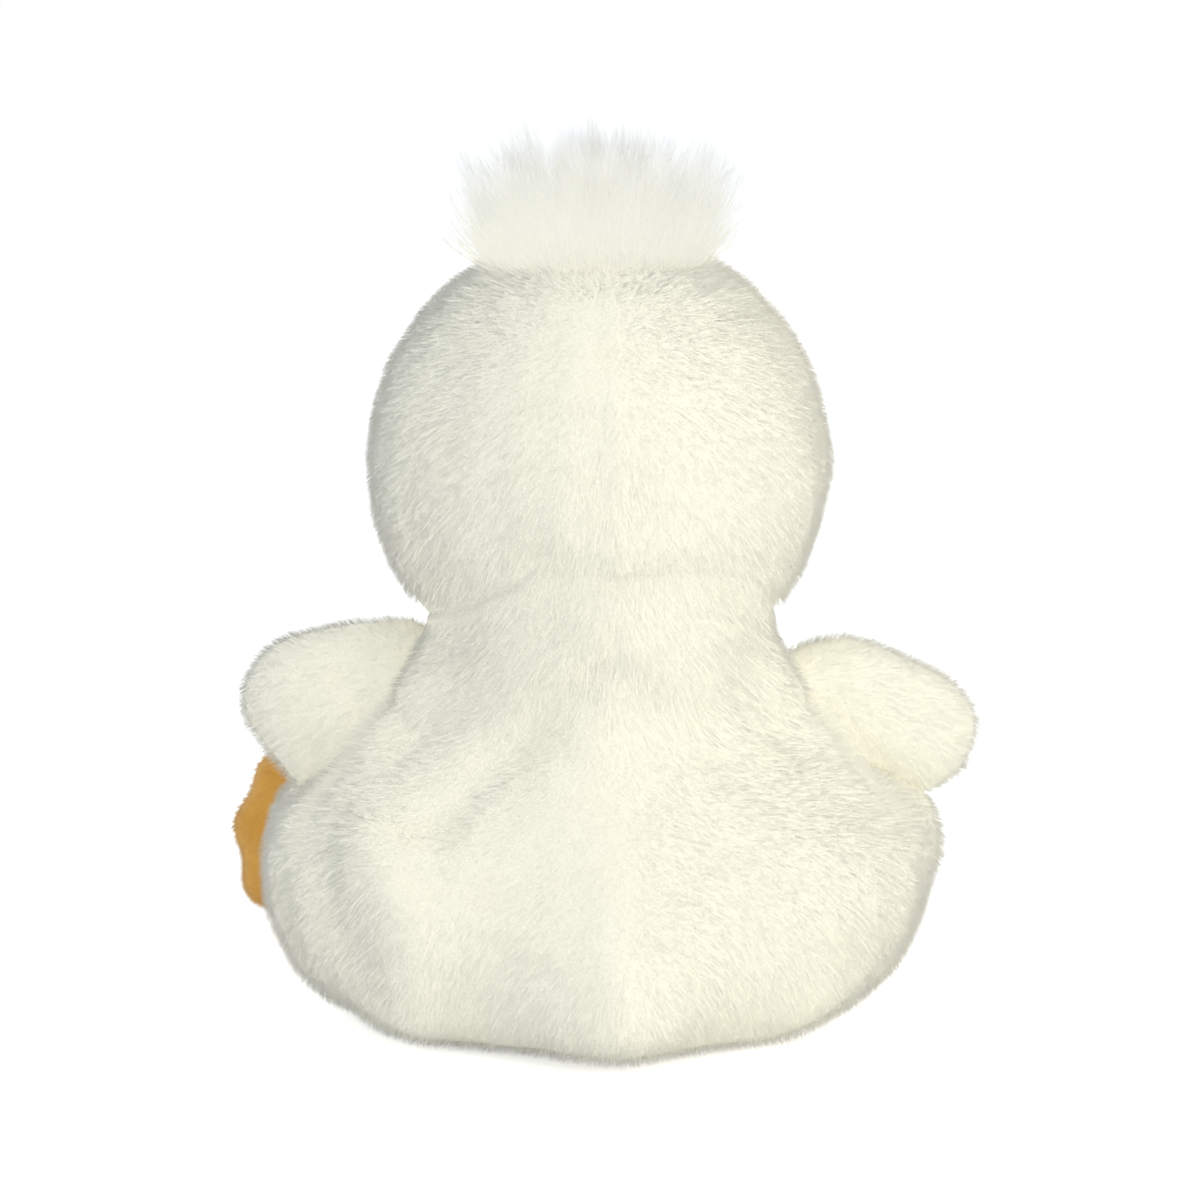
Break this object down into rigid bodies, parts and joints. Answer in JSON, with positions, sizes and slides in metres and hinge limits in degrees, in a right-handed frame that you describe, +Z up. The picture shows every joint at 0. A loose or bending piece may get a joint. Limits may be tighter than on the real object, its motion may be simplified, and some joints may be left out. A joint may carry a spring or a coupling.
{
  "type": "plush pelican",
  "caption": "Palm-sized sitting plush pelican in cream pile with a crown tuft, pouched bill, stub wings and webbed orange feet; head and limbs flop on their seams.",
  "frame": {"origin": "the middle of the flat seat, on the table, below the neck's axis", "axes": "+Z up, -Y the way the bird faces, +X the bird's left"},
  "size_m": [0.1076, 0.1189, 0.1244],
  "materials": {
    "white_plush": "short cream pile",
    "long_pile": "long white pile",
    "orange_plush": "short golden orange pile",
    "fibrefill": "loose white fibre",
    "pellet_cloth": "plain woven cloth full of pellets",
    "eye_plastic": "polished black",
    "washer_plastic": "natural"
  },
  "bodies": {
    "body": {"body_back_left": "white_plush", "body_back_right": "white_plush", "body_belly": "white_plush", "body_base": "white_plush", "body_stuffing": "fibrefill", "pellet_bag": "pellet_cloth"},
    "neck": {"neck_stuffing": "fibrefill"},
    "head": {"head_cover_left": "white_plush", "head_cover_right": "white_plush", "head_stuffing": "fibrefill", "crown_tuft": "long_pile", "bill_upper": "orange_plush", "bill_pouch": "orange_plush", "bill_stuffing": "fibrefill", "left_eye": "eye_plastic", "right_eye": "eye_plastic", "left_eye_washer": "washer_plastic", "right_eye_washer": "washer_plastic"},
    "left_wing": {"left_wing_back": "white_plush", "left_wing_front": "white_plush", "left_wing_stuffing": "fibrefill"},
    "left_foot": {"left_foot_sole": "orange_plush", "left_foot_top": "orange_plush", "left_foot_stuffing": "fibrefill"},
    "right_wing": {"right_wing_back": "white_plush", "right_wing_front": "white_plush", "right_wing_stuffing": "fibrefill"},
    "right_foot": {"right_foot_sole": "orange_plush", "right_foot_top": "orange_plush", "right_foot_stuffing": "fibrefill"}
  },
  "joints": [
    {"name": "head_turn", "type": "hinge", "parent": "body", "child": "neck", "pos_m": [0, -0.005, 0.07713], "axis": [0, 0, 1], "range_deg": [-20, 20], "stiffness_Nm_per_rad": 0.08},
    {"name": "head_nod", "type": "hinge", "parent": "neck", "child": "head", "pos_m": [0, -0.005, 0.07713], "axis": [1, 0, 0], "range_deg": [-12, 8], "stiffness_Nm_per_rad": 0.08},
    {"name": "left_wing_flap", "type": "hinge", "parent": "body", "child": "left_wing", "pos_m": [0.03376, -0.00177, 0.0378], "axis": [0.8813, -0.0462, -0.4703], "range_deg": [-15, 20], "stiffness_Nm_per_rad": 0.006},
    {"name": "left_foot_flop", "type": "hinge", "parent": "body", "child": "left_foot", "pos_m": [0.03044, -0.0294, 0.016], "axis": [0.1273, 0.2364, -0.9633], "range_deg": [0, 25], "stiffness_Nm_per_rad": 0.012},
    {"name": "right_wing_flap", "type": "hinge", "parent": "body", "child": "right_wing", "pos_m": [-0.03376, -0.00177, 0.0378], "axis": [0.8813, 0.0462, 0.4703], "range_deg": [-15, 20], "stiffness_Nm_per_rad": 0.006},
    {"name": "right_foot_flop", "type": "hinge", "parent": "body", "child": "right_foot", "pos_m": [-0.03044, -0.0294, 0.016], "axis": [0.1273, -0.2364, 0.9633], "range_deg": [0, 25], "stiffness_Nm_per_rad": 0.012}
  ]
}
